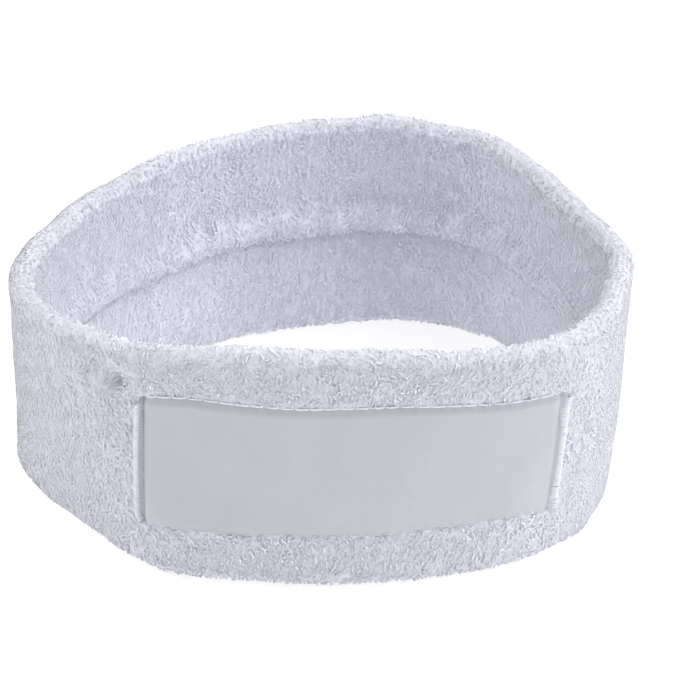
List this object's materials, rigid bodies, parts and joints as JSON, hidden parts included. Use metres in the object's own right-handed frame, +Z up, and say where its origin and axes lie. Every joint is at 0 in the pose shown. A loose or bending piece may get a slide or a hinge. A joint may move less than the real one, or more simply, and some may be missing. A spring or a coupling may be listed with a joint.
{
  "type": "sports headband",
  "caption": "Stretchy terry headband folded double from one knitted tube, with a linking seam inside and a blank satin label sewn to the front.",
  "frame": {"origin": "on the surface that the band rests on, under the middle of its bounding box", "axes": "+Z up, towards the upper fold; -Y out of the label, away from the forehead; +X to the wearer's left"},
  "size_m": [0.136, 0.1278, 0.055],
  "materials": {
    "terry_pile": "uncut white cotton loops, soft and matt",
    "ground_knit": "white cotton and polyamide plain knit, matt",
    "covered_elastic": "elastane core wound with white polyamide",
    "seam_thread": "white textured polyester thread",
    "label_satin": "white polyester satin, a soft sheen, fine diagonal twill",
    "embroidery_thread": "white trilobal polyester embroidery thread, glossy",
    "label_thread": "white polyester sewing thread, slight gloss",
    "bobbin_thread": "white spun polyester thread, matt"
  },
  "bodies": {
    "root": {"terry_ground_fabric": "ground_knit", "terry_pile_loops": "terry_pile", "elastic_yarns_outer_ply": "covered_elastic", "elastic_yarns_upper_flap": "covered_elastic", "elastic_yarns_lower_flap": "covered_elastic", "join_seam_linking_thread": "seam_thread", "join_seam_looper_thread": "seam_thread", "satin_label": "label_satin", "label_right_satin_stitch": "embroidery_thread", "label_right_satin_bobbin": "bobbin_thread", "label_left_satin_stitch": "embroidery_thread", "label_left_satin_bobbin": "bobbin_thread", "label_top_needle_thread": "label_thread", "label_top_bobbin_thread": "bobbin_thread", "label_bottom_needle_thread": "label_thread", "label_bottom_bobbin_thread": "bobbin_thread"}
  },
  "joints": []
}
